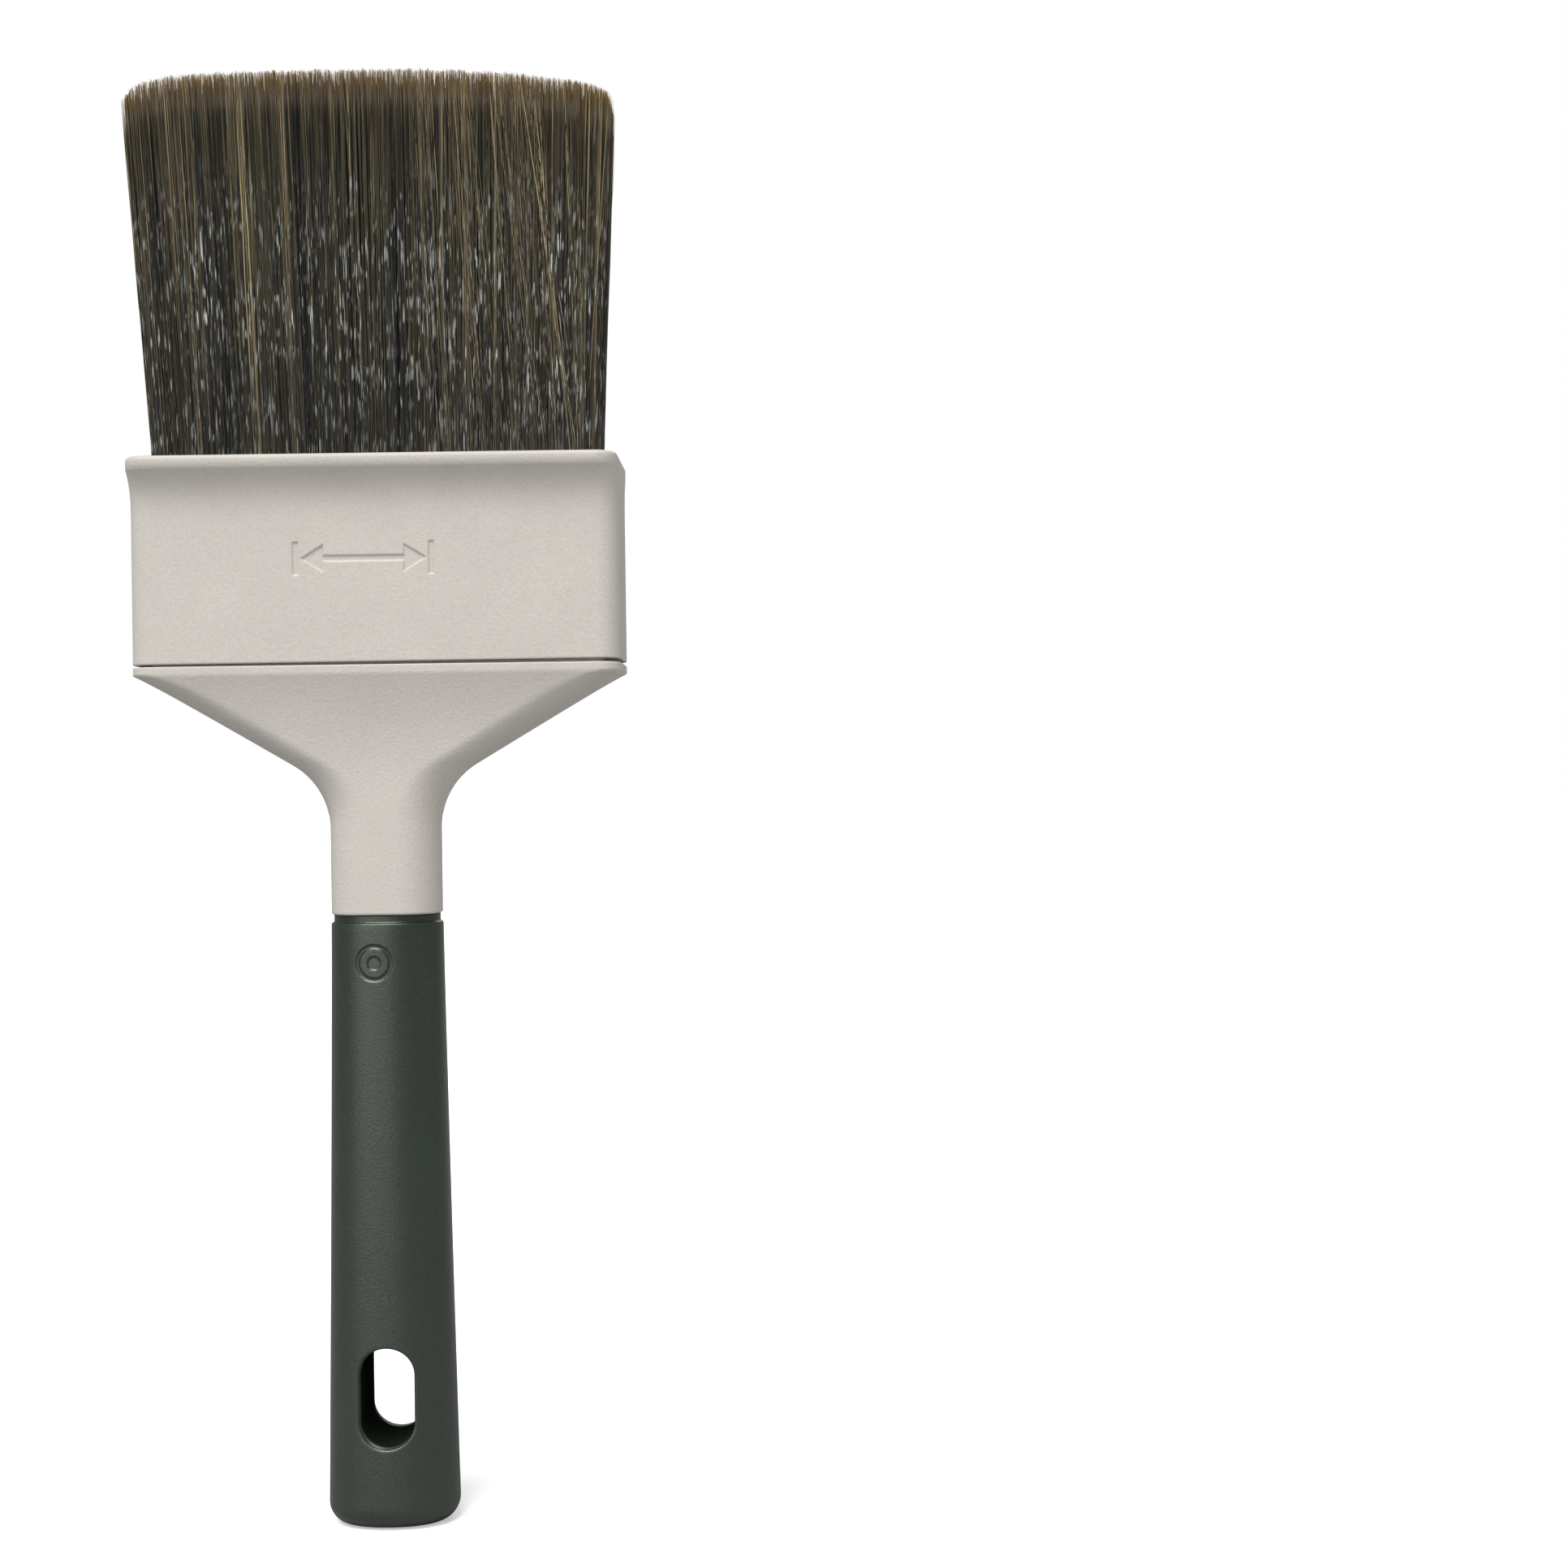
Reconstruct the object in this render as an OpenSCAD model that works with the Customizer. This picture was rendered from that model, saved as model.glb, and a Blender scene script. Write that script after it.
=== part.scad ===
// Flat paint brush, 80 mm class: moulded ferrule with a drip lip, bi-material handle
// with a hang slot, and three rows of synthetic filament set in resin.
// Millimetres. +Z runs from the butt of the grip to the filament tips, the wide
// faces look along -Y and +Y, and the origin is the centre of the butt face.

/* [Grip] */
// Height of the grip, from the butt face to the foot of the neck
grip_height = 110.4; // [100:0.2:116]
// Width of the grip just below its collar
grip_top_width = 20.2; // [19.4:0.1:22]
// Width of the grip at its widest, near the butt
grip_butt_width = 23.8; // [22.5:0.1:26]
// Depth of the grip just below its collar
grip_top_depth = 14.8; // [14:0.1:16]
// Depth of the grip at its deepest, near the butt
grip_butt_depth = 17.4; // [16.5:0.1:20]
// Radius of the soft edge round the butt face
butt_edge = 4; // [2:0.1:4.5]
// Height of the narrow collar under the neck
collar_height = 1.4; // [1:0.1:2]
// How far the collar steps in on each side
collar_step = 0.5; // [0.3:0.05:0.7]

/* [Hang slot] */
// Height of the slot's centre above the butt face
slot_centre = 23.8; // [20:0.1:30]
// Full width of the slot
slot_width = 9.8; // [8:0.1:10]
// Full length of the slot, end to end
slot_length = 18; // [14:0.1:20]

/* [Neck and shoulder] */
// Width of the neck
neck_width = 19.9; // [18:0.1:20.4]
// Depth of the neck
neck_depth = 15; // [14:0.1:16]
// Slope of the shoulder: sideways run for each unit of height
shoulder_slope = 1.67; // [1.5:0.01:1.8]
// Radius of the fillet between the neck and the shoulder
shoulder_fillet = 13.5; // [10:0.5:15]
// Height of the straight band between the shoulder and the seam
band_height = 1.5; // [1:0.1:2.5]
// Height of the tongue that plugs into the ferrule
tongue_height = 6.6; // [5:0.1:7]

/* [Ferrule] */
// Outside width of the ferrule
ferrule_width = 87.5; // [86:0.5:90]
// Outside depth of the ferrule
ferrule_depth = 21.5; // [21:0.1:23]
// Height of the ferrule, from the seam to the mouth
ferrule_height = 37.2; // [36:0.1:40]
// Radius of the ferrule's outside corners
ferrule_corner = 4; // [3.5:0.1:5]
// Open groove left between the shoulder's band and the ferrule
seam_gap = 0.5; // [0.3:0.05:0.8]
// Wall of the narrow sides
side_wall = 3.4; // [3:0.1:3.6]
// Wall of the wide faces
face_wall = 2.4; // [2.2:0.1:2.5]
// How far the drip lip reaches out over each wide face
lip_reach = 3.2; // [2:0.1:4]
// Height over which the lip curves out
lip_rise = 11.4; // [9:0.1:12]
// Height of the upright rim at the end of the lip
rim_height = 2.2; // [1.8:0.1:2.6]

/* [Filaments] */
// Width of the filament pack in the mouth, the size the brush is sold by
pack_width = 80; // [78:0.5:80]
// Depth of the filament pack in the mouth
pack_depth = 16.4; // [15:0.1:16.4]
// Width of the pack near the tips
tip_width = 87.2; // [82:0.2:88]
// Depth of the pack near the tips
tip_depth = 17.4; // [16.5:0.1:18]
// Free length of the filaments above the mouth
free_length = 70.6; // [60:0.2:76]
// Thickness of each spacer plug between the rows
plug_depth = 2.4; // [1.6:0.1:3]

/* [Hidden] */

$fn = 64;
fit_gap = 0.05;          // clearance between two bonded or seated pieces
cut = 1;                 // how far a cutter runs past the face it opens
section_points = 36;     // points round a grip section
corner_steps = 6;        // steps round a quarter turn
curve_steps = 8;         // steps along a curved stretch of height

// Handle heights
shoulder_height = 43.3;
shoulder_top = grip_height + shoulder_height;
seam = shoulder_top + band_height;
shoulder_run = ferrule_width / 2 - neck_width / 2;
fillet_turn = atan(shoulder_slope);
fillet_reach = shoulder_fillet * tan(fillet_turn / 2);
shoulder_root = shoulder_top - shoulder_run / shoulder_slope;
fillet_low = shoulder_root - fillet_reach;
fillet_high = shoulder_root + fillet_reach * cos(fillet_turn);
depth_blend_low = fillet_low + 4;
depth_blend_power = 2.4;
neck_ease = [7, 6.8];
shoulder_ease = [8, 7];
ease_end_power = 10;
neck_bevel = 0.3;
grip_swell_power = 1.15;
grip_roundness = 2.2;

// Handle core inside the grip
tang_depth = 8.8;
tang_top_width = 12.8;
tang_foot_width = 17.2;
tang_foot = 8;
tang_corner = 3;
slot_lining = 1.6;
pocket_wall = 3;
pocket_flank = 6.5;
pocket_depth = 10;
pocket_floor = 8;

// Inside of the ferrule
bore_width = ferrule_width - 2 * side_wall;
bore_depth = ferrule_depth - 2 * face_wall;
bore_corner = 1.6;
ferrule_foot = seam + seam_gap;
mouth = seam + ferrule_height;
lip_start = mouth - lip_rise - rim_height;
lip_power = 4;
rim_thickness = 1.9;
rim_round = 0.8;
mouth_side_ease = 1.2;

// Filament pack
tip = mouth + free_length;
tongue_top = seam + tongue_height;
resin_foot = tongue_top + 0.5;
resin_height = 6;
root_foot = resin_foot + resin_height + fit_gap;
plug_height = 12;
flex_height = mouth - 1;
flex_radius = pack_depth / 2;
flex_limit = 40;
root_top = flex_height - flex_radius * sin(flex_limit);
pack_corner = 1.6;
row_depth = pack_depth / 3;
tip_crown = 0.9;
tip_corner_drop = 4.6;
tip_corner_power = 9;
tip_edge_round = 2;
dome_points = 28;

shell_grey = "#cdc8c1";
grip_green = "#454c46";
resin_amber = "#b79a62";
plug_tan = "#9a8a6c";
filament_brown = "#4b4234";

// A rectangle with its corners eased to quarter ellipses, as a ring of points at height z
function eased_ring(half_x, half_y, ease, z) = [
    for (quarter = [0:3]) for (step = [0:corner_steps])
        let (turn = 90 * (quarter + step / corner_steps),
             side_x = (quarter == 0 || quarter == 3) ? 1 : -1,
             side_y = quarter < 2 ? 1 : -1)
        [side_x * (half_x - ease.x) + ease.x * cos(turn),
         side_y * (half_y - ease.y) + ease.y * sin(turn),
         z]
];

function rounded_ring(half_x, half_y, corner, z) = eased_ring(half_x, half_y, [corner, corner], z);

// A superellipse as a ring of points at height z
function oval_ring(half_x, half_y, z) = [
    for (i = [0:section_points - 1])
        let (turn = 360 * i / section_points, c = cos(turn), s = sin(turn))
        [half_x * sign(c) * pow(abs(c), 2 / grip_roundness),
         half_y * sign(s) * pow(abs(s), 2 / grip_roundness),
         z]
];

function side_faces(n, low, high) = [
    for (i = [0:n - 1]) [low * n + i, high * n + i, high * n + (i + 1) % n, low * n + (i + 1) % n]
];

// A closed solid through rings stacked from the bottom up
module skin(rings) {
    n = len(rings[0]);
    top = len(rings) - 1;
    polyhedron(
        points = [for (ring = rings) for (point = ring) point],
        faces = concat(
            [[for (i = [0:n - 1]) i]],
            [[for (i = [n - 1:-1:0]) top * n + i]],
            [for (k = [0:top - 1]) for (face = side_faces(n, k, k + 1)) face]));
}

// A closed tube through rings that run up the outside and down the inside
module tube_skin(rings) {
    n = len(rings[0]);
    count = len(rings);
    polyhedron(
        points = [for (ring = rings) for (point = ring) point],
        faces = [for (k = [0:count - 1]) for (face = side_faces(n, k, (k + 1) % count)) face]);
}

// A prism seen from the front: a flat outline in X and Z, centred on depth
module front_prism(depth) {
    translate([0, depth / 2, 0]) rotate([90, 0, 0]) linear_extrude(height = depth) children();
}

// A prism seen from the side: a flat outline in Y and Z, centred on width
module side_prism(width) {
    translate([-width / 2, 0, 0]) rotate([90, 0, 90]) linear_extrude(height = width) children();
}

// A rounded rectangular prism with true corner arcs
module rounded_block(width, depth, corner, low, high) {
    translate([0, 0, low]) linear_extrude(height = high - low) union() {
        square([width - 2 * corner, depth], center = true);
        square([width, depth - 2 * corner], center = true);
        for (x = [-1, 1]) for (y = [-1, 1])
            translate([x * (width / 2 - corner), y * (depth / 2 - corner)]) circle(r = corner);
    }
}

// An obround outline, upright, centred on the slot
module slot_outline(width, length) {
    translate([0, slot_centre]) union() {
        square([width, length - width], center = true);
        for (side = [-1, 1]) translate([0, side * (length - width) / 2]) circle(d = width);
    }
}

// ---- Grip ----

function grip_share(z) = pow(1 - z / grip_height, grip_swell_power);
function grip_half_x(z) = (grip_top_width + (grip_butt_width - grip_top_width) * grip_share(z)) / 2;
function grip_half_y(z) = (grip_top_depth + (grip_butt_depth - grip_top_depth) * grip_share(z)) / 2;
function grip_ring(z, inset) = oval_ring(grip_half_x(z) - inset, grip_half_y(z) - inset, z);

module grip() {
    collar_foot = grip_height - collar_height;
    color(grip_green) difference() {
        skin(concat(
            [for (k = [0:corner_steps - 1])
                let (turn = 90 * k / corner_steps)
                grip_ring(butt_edge * (1 - cos(turn)), butt_edge * (1 - sin(turn)))],
            [for (k = [0:curve_steps])
                grip_ring(butt_edge + (collar_foot - collar_step - butt_edge) * k / curve_steps, 0)],
            [grip_ring(collar_foot, collar_step)],
            [grip_ring(grip_height - fit_gap, collar_step)]));
        tang(fit_gap);
        front_prism(2 * grip_butt_depth) slot_outline(slot_width, slot_length);
    }
}

// ---- Handle core: tang, neck, shoulder, band and tongue in one moulding ----

function shoulder_half_x(z) =
    z <= fillet_low ? neck_width / 2 :
    z <= fillet_high
        ? neck_width / 2 + shoulder_fillet - sqrt(pow(shoulder_fillet, 2) - pow(z - fillet_low, 2))
        : neck_width / 2 + (z - shoulder_root) * shoulder_slope;

function shoulder_half_y(z) = neck_depth / 2 + (ferrule_depth - neck_depth) / 2
    * pow(max(0, z - depth_blend_low) / (shoulder_top - depth_blend_low), depth_blend_power);

// Corner easing: wide on the neck, a little wider on the shoulder, and the ferrule's corner at the band
function corner_ease(z) =
    let (spread = min(1, max(0, z - fillet_low) / (fillet_high - fillet_low)),
         finish = pow(max(0, z - fillet_high) / (shoulder_top - fillet_high), ease_end_power),
         long = neck_ease + (shoulder_ease - neck_ease) * spread)
    long + ([ferrule_corner, ferrule_corner] - long) * finish;

function shoulder_ring(z, inset = 0) = eased_ring(
    shoulder_half_x(z) - inset, shoulder_half_y(z) - inset, corner_ease(z) - [inset, inset], z);

// The flat bar inside the grip, with a slot wide enough for the grip to line it
module tang(clearance) {
    half_top = tang_top_width / 2 + clearance;
    half_foot = tang_foot_width / 2 + clearance;
    foot = tang_foot - clearance;
    lining = 2 * (slot_lining - clearance);
    front_prism(tang_depth + 2 * clearance) difference() {
        polygon([
            [-half_foot + tang_corner, foot], [half_foot - tang_corner, foot],
            [half_foot, foot + tang_corner], [half_top, grip_height + cut],
            [-half_top, grip_height + cut], [-half_foot, foot + tang_corner]]);
        slot_outline(slot_width + lining, slot_length + lining);
    }
}

// The hollow that opens through the tongue and keeps the shoulder's walls even
module shoulder_pocket() {
    half_top = bore_width / 2 - pocket_wall;
    low = shoulder_root + pocket_floor;
    half_low = neck_width / 2 + pocket_floor * shoulder_slope - pocket_flank;
    bend = low + (half_top - half_low) / shoulder_slope;
    front_prism(pocket_depth) polygon([
        [-half_low, low], [half_low, low], [half_top, bend], [half_top, tongue_top + cut],
        [-half_top, tongue_top + cut], [-half_top, bend]]);
}

module handle_core() {
    color(shell_grey) difference() {
        union() {
            skin(concat(
                [shoulder_ring(grip_height, neck_bevel)],
                [shoulder_ring(grip_height + neck_bevel)],
                [shoulder_ring(fillet_low)],
                [for (k = [1:curve_steps]) shoulder_ring(fillet_low + (fillet_high - fillet_low) * k / curve_steps)],
                [for (k = [1:curve_steps]) shoulder_ring(fillet_high + (shoulder_top - fillet_high) * k / curve_steps)],
                [rounded_ring(ferrule_width / 2, ferrule_depth / 2, ferrule_corner, seam)]));
            rounded_block(bore_width - 2 * fit_gap, bore_depth - 2 * fit_gap, bore_corner, shoulder_top, tongue_top);
            tang(0);
        }
        shoulder_pocket();
    }
}

// ---- Ferrule with its drip lip ----

function flare(z, reach) = reach * pow(min(1, max(0, z - lip_start) / lip_rise), lip_power);
function outer_ring(z) = rounded_ring(
    ferrule_width / 2, ferrule_depth / 2 + flare(z, lip_reach), ferrule_corner, z);

function inner_ring(z) =
    let (share = max(0, z - lip_start) / (mouth - lip_start),
         reach = lip_reach + face_wall - rim_thickness)
    rounded_ring(bore_width / 2 + mouth_side_ease * pow(share, lip_power),
                 bore_depth / 2 + reach * pow(share, lip_power), bore_corner, z);

function rim_ring(turn) = rounded_ring(
    ferrule_width / 2 - rim_round * (1 - cos(turn)),
    ferrule_depth / 2 + lip_reach - rim_round * (1 - cos(turn)),
    ferrule_corner - rim_round * (1 - cos(turn)),
    mouth - rim_round * (1 - sin(turn)));

module ferrule() {
    color(shell_grey) tube_skin(concat(
        [outer_ring(ferrule_foot)],
        [for (k = [0:curve_steps]) outer_ring(lip_start + lip_rise * k / curve_steps)],
        [for (k = [0:3]) rim_ring(90 * k / 3)],
        [for (k = [curve_steps:-1:0]) inner_ring(lip_start + (mouth - lip_start) * k / curve_steps)],
        [inner_ring(ferrule_foot)]));
}

// ---- Resin, plugs and filament rows inside the ferrule ----

module epoxy_setting() {
    color(resin_amber) rounded_block(
        bore_width - 2 * fit_gap, bore_depth - 2 * fit_gap, bore_corner, resin_foot, resin_foot + resin_height);
}

module spacer_plug(side) {
    color(plug_tan) translate([-pack_width / 2, side * row_depth / 2 - plug_depth / 2, root_foot])
        cube([pack_width, plug_depth, plug_height]);
}

// Space of one row, -1 front, 0 middle, 1 rear, over the whole pack
module row_slab(row) {
    translate([-ferrule_width, row * row_depth - row_depth / 2 + fit_gap / 2, 0])
        cube([2 * ferrule_width, row_depth - fit_gap, tip + cut]);
}

module filament_roots(row) {
    color(filament_brown) difference() {
        intersection() {
            rounded_block(pack_width, pack_depth, pack_corner, root_foot, root_top);
            row_slab(row);
        }
        for (side = [-1, 1])
            translate([-ferrule_width, side * row_depth / 2 - plug_depth / 2 - fit_gap, root_foot - cut])
                cube([2 * ferrule_width, plug_depth + 2 * fit_gap, plug_height + cut + fit_gap]);
        translate([-ferrule_width, 0, flex_height]) rotate([0, 90, 0])
            cylinder(r = flex_radius + fit_gap, h = 2 * ferrule_width);
    }
}

function dome_drop(share) = tip_crown * pow(share, 2) + tip_corner_drop * pow(abs(share), tip_corner_power);

// Front outline of the free filaments: straight flare with a domed top
module pack_front() {
    low = flex_height - flex_radius - cut;
    polygon(concat(
        [[-pack_width / 2, low], [pack_width / 2, low], [pack_width / 2, mouth]],
        [for (i = [dome_points:-1:0])
            let (share = 2 * i / dome_points - 1)
            [share * tip_width / 2, tip - dome_drop(share)]],
        [[-pack_width / 2, mouth]]));
}

// Side outline of the free filaments: slight flare with softened top edges
module pack_side() {
    polygon([
        [-pack_depth / 2, flex_height], [pack_depth / 2, flex_height],
        [tip_depth / 2, tip - tip_edge_round], [tip_depth / 2 - tip_edge_round, tip],
        [tip_edge_round - tip_depth / 2, tip], [-tip_depth / 2, tip - tip_edge_round]]);
}

// Space of one row of the free filaments: the outer rows keep their flare
module free_row_slab(row) {
    inner = row_depth / 2 + fit_gap / 2;
    low = row == 0 ? fit_gap - inner : row > 0 ? inner : -tip_depth;
    high = row == 0 ? inner - fit_gap : row > 0 ? tip_depth : -inner;
    translate([-ferrule_width, low, 0]) cube([2 * ferrule_width, high - low, tip + cut]);
}

module filaments(row) {
    color(filament_brown) intersection() {
        union() {
            side_prism(2 * ferrule_width) pack_side();
            translate([-ferrule_width, 0, flex_height]) rotate([0, 90, 0])
                cylinder(r = flex_radius, h = 2 * ferrule_width);
        }
        front_prism(4 * tip_depth) pack_front();
        free_row_slab(row);
    }
}

grip();
handle_core();
ferrule();
epoxy_setting();
spacer_plug(-1);  // spacer_plug_front
spacer_plug(1);  // spacer_plug_rear
filament_roots(-1);  // filament_roots_front
filament_roots(0);  // filament_roots_middle
filament_roots(1);  // filament_roots_rear
filaments(-1);  // filaments_front
filaments(0);  // filaments_middle
filaments(1);  // filaments_rear
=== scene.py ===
"""An 80 mm flat paint brush: moulded shell, soft grip and thousands of separate filaments."""
import math

import bpy
import numpy as np
from mathutils import Matrix, Vector


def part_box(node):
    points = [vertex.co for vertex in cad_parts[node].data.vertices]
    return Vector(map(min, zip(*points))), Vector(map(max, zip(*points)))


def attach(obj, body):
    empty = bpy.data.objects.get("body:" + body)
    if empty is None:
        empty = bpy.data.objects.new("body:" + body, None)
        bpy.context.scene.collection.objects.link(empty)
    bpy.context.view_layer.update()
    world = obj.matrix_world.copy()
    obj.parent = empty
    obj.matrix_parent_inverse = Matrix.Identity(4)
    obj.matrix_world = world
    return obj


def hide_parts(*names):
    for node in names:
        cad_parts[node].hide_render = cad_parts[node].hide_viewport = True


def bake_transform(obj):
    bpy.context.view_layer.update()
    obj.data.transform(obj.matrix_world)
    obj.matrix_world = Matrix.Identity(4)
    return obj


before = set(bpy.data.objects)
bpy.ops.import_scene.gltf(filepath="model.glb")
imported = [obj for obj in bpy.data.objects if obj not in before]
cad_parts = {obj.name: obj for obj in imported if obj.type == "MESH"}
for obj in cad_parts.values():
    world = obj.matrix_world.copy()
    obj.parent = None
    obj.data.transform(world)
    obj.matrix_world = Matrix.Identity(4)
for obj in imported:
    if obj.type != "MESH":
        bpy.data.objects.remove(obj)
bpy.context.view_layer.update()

MM = 0.001

# ---- Places taken from the frame ----

ferrule_low, ferrule_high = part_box("ferrule")
core_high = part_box("handle_core")[1]
grip_low, grip_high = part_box("grip")
pack_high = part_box("filaments_rear")[1]

HALF_X = ferrule_high.x
BAND_HALF_Y = core_high.y
LIP_HALF_Y = ferrule_high.y
FERRULE_FOOT = ferrule_low.z
MOUTH = ferrule_high.z
GRIP_TOP = grip_high.z
BUTT = grip_low.z
TIP = pack_high.z

# ---- Shape values, in metres ----

# Ferrule
SEAM_GAP = 0.5 * MM
SEAM = FERRULE_FOOT - SEAM_GAP
SEAM_TILT = 0.13 * MM
CORNER = 4.0 * MM
SIDE_WALL = 3.4 * MM
FACE_WALL = 2.4 * MM
BORE_CORNER = 1.6 * MM
EDGE_ROUND = 0.25 * MM
LIP_RISE = 11.4 * MM
LIP_POWER = 4
RIM_HEIGHT = 2.2 * MM
RIM_THICKNESS = 1.9 * MM
RIM_ROUND = 0.8 * MM
BORE_RIM_DROP = 0.36 * MM
BORE_RIM_EASE = 0.09 * MM
LIP_START = MOUTH - LIP_RISE - RIM_HEIGHT
MOUTH_SIDE_EASE = 1.2 * MM

# Neck, shoulder and band of the handle
NECK_HALF_X = 9.95 * MM
NECK_HALF_Y = 7.5 * MM
NECK_EASE = np.array([7.0, 6.8]) * MM
NECK_BEVEL = 0.4 * MM
SHOULDER_EASE = np.array([8.0, 7.0]) * MM
EASE_END_POWER = 10
SHOULDER_SLOPE = 1.67
SHOULDER_FILLET = 13.5 * MM
BAND_HEIGHT = 1.5 * MM
SHOULDER_TOP = SEAM - BAND_HEIGHT
SHOULDER_ROOT = SHOULDER_TOP - (HALF_X - NECK_HALF_X) / SHOULDER_SLOPE
FILLET_TURN = math.atan(SHOULDER_SLOPE)
FILLET_REACH = SHOULDER_FILLET * math.tan(FILLET_TURN / 2)
FILLET_LOW = SHOULDER_ROOT - FILLET_REACH
FILLET_HIGH = SHOULDER_ROOT + FILLET_REACH * math.cos(FILLET_TURN)
DEPTH_BLEND_LOW = FILLET_LOW + 4 * MM
DEPTH_BLEND_POWER = 2.4

# Grip, its collar and its hang slot
GRIP_TOP_HALF_X = 10.1 * MM
GRIP_TOP_HALF_Y = 7.4 * MM
GRIP_BUTT_HALF_X = 11.9 * MM
GRIP_BUTT_HALF_Y = 8.7 * MM
GRIP_SWELL = 1.15
GRIP_ROUNDNESS = 2.2
FLANK_START = 0.9  # as a share of the half width
BUTT_EDGE = 4.0 * MM
COLLAR_HEIGHT = 1.4 * MM
COLLAR_STEP = 0.5 * MM
SLOT_CENTRE = 23.8 * MM
SLOT_HALF_WIDTH = 4.9 * MM
SLOT_HALF_LENGTH = 9.0 * MM
SLOT_RIM = 0.45 * MM
WINDOW_MARGIN_X = 1.9 * MM
WINDOW_MARGIN_Z = 2.2 * MM

# Filament pack
PACK_HALF_X = 40.0 * MM
PACK_HALF_Y = 8.2 * MM
PACK_CORNER = 2.2 * MM
TIP_HALF_X = pack_high.x
TIP_HALF_Y = pack_high.y
ROOT_Z = MOUTH - 18 * MM


# ---- Mesh helpers ----

def mesh_object(name, points, faces):
    """A smooth-shaded mesh object from an (n, 3) array and a list of face-index arrays."""
    mesh = bpy.data.meshes.new(name)
    mesh.vertices.add(len(points))
    mesh.vertices.foreach_set("co", np.asarray(points, np.float32).ravel())
    loops = np.concatenate([f.ravel() for f in faces])
    sizes = np.concatenate([np.full(len(f), f.shape[1]) for f in faces])
    starts = np.concatenate([[0], np.cumsum(sizes)[:-1]])
    mesh.loops.add(len(loops))
    mesh.loops.foreach_set("vertex_index", loops.astype(np.int32))
    mesh.polygons.add(len(sizes))
    mesh.polygons.foreach_set("loop_start", starts.astype(np.int32))
    mesh.polygons.foreach_set("use_smooth", np.ones(len(sizes), bool))
    mesh.update(calc_edges=True)
    obj = bpy.data.objects.new(name, mesh)
    bpy.context.scene.collection.objects.link(obj)
    return obj


def ring_quads(rings, around, closed):
    """Quads between stacked rings of equal length; closed also joins the last ring to the first."""
    count = rings if closed else rings - 1
    k = np.arange(count)[:, None]
    i = np.arange(around)[None, :]
    up = (k + 1) % rings
    right = (i + 1) % around
    quads = np.stack([k * around + i, k * around + right, up * around + right, up * around + i], -1)
    return quads.reshape(-1, 4)


def fan(centre, ring, flip):
    """Triangles from a centre point to a ring of point indices."""
    turned = np.roll(ring, -1)
    first, second = (turned, ring) if flip else (ring, turned)
    return np.stack([np.full(len(ring), centre), first, second], -1)


def strip(first, second):
    """Quads between two closed loops of point indices."""
    return np.stack([first, np.roll(first, -1), np.roll(second, -1), second], -1)


def loft(name, rings):
    """A closed solid through stacked rings, with a fan over each end."""
    rings = np.asarray(rings)
    count, around, _ = rings.shape
    points = np.concatenate([rings.reshape(-1, 3), [rings[0].mean(0)], [rings[-1].mean(0)]])
    low = np.arange(around)
    high = low + (count - 1) * around
    faces = [
        ring_quads(count, around, False),
        fan(count * around, low, True),
        fan(count * around + 1, high, False),
    ]
    return mesh_object(name, points, faces)


def straight(count):
    """Places strictly between -1 and 1 along a straight stretch."""
    return np.linspace(-1, 1, count + 2)[1:-1]


BACK_STOPS = straight(24)
SIDE_STOPS = straight(5)
CORNER_STEPS = 14


def rounded_ring(half_x, half_y, corner, z, front):
    """A rectangle at height z with round or elliptic corners, anticlockwise from its front."""
    ease_x, ease_y = np.broadcast_to(corner, 2)
    run_x, run_y = half_x - ease_x, half_y - ease_y
    turn = np.linspace(0, math.pi / 2, CORNER_STEPS + 1)

    def arc(sign_x, sign_y, start):
        """A quarter turn at one corner."""
        return np.stack([
            sign_x * run_x + ease_x * np.cos(turn + start),
            sign_y * run_y + ease_y * np.sin(turn + start)], -1)

    def run(along, x0, y0, dx, dy):
        """A straight side about its middle."""
        return np.stack([x0 + along * dx, y0 + along * dy], -1)

    outline = np.concatenate([
        run(front, 0, -half_y, run_x, 0),
        arc(1, -1, -math.pi / 2),
        run(SIDE_STOPS, half_x, 0, 0, run_y),
        arc(1, 1, 0),
        run(BACK_STOPS, 0, half_y, -run_x, 0),
        arc(-1, 1, math.pi / 2),
        run(SIDE_STOPS, -half_x, 0, 0, -run_y),
        arc(-1, -1, math.pi),
    ])
    return np.column_stack([outline, np.full(len(outline), z)])


def smoothstep(low, high, value):
    """0 at low, 1 at high, and an even S between them."""
    t = np.clip((value - low) / (high - low), 0, 1)
    return t * t * (3 - 2 * t)


def round_over(radius, steps):
    """(inset, drop) pairs of a quarter round, from the end face to the side face."""
    turns = np.linspace(0, math.pi / 2, steps + 1)
    return [(radius * (1 - math.sin(t)), radius * (1 - math.cos(t))) for t in turns]


# ---- Generic marks ----

MARK_X = -1.6 * MM
MARK_Z = FERRULE_FOOT + 18.4 * MM
MARK_HALF_WIDTH = 12.6 * MM
MARK_HALF_HEIGHT = 2.9 * MM
MARK_LINE = 0.5 * MM
MARK_DEPTH = 0.3 * MM
MARK_EDGE = 0.14 * MM
MARK_STEP = 0.14 * MM
MARK_MARGIN_X = 1.0 * MM
MARK_MARGIN_Z = 0.6 * MM
ARROW_SLOPE = 0.62
ARROW_LENGTH = 1.35 * MARK_HALF_HEIGHT


def box_distance(x, z, centre_x, half_x, half_z):
    """Distance from the edge of an upright rectangle, below 0 inside it."""
    dx = np.abs(x - centre_x) - half_x
    dz = np.abs(z) - half_z
    outside = np.hypot(np.maximum(dx, 0), np.maximum(dz, 0))
    return outside + np.minimum(np.maximum(dx, dz), 0)


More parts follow.
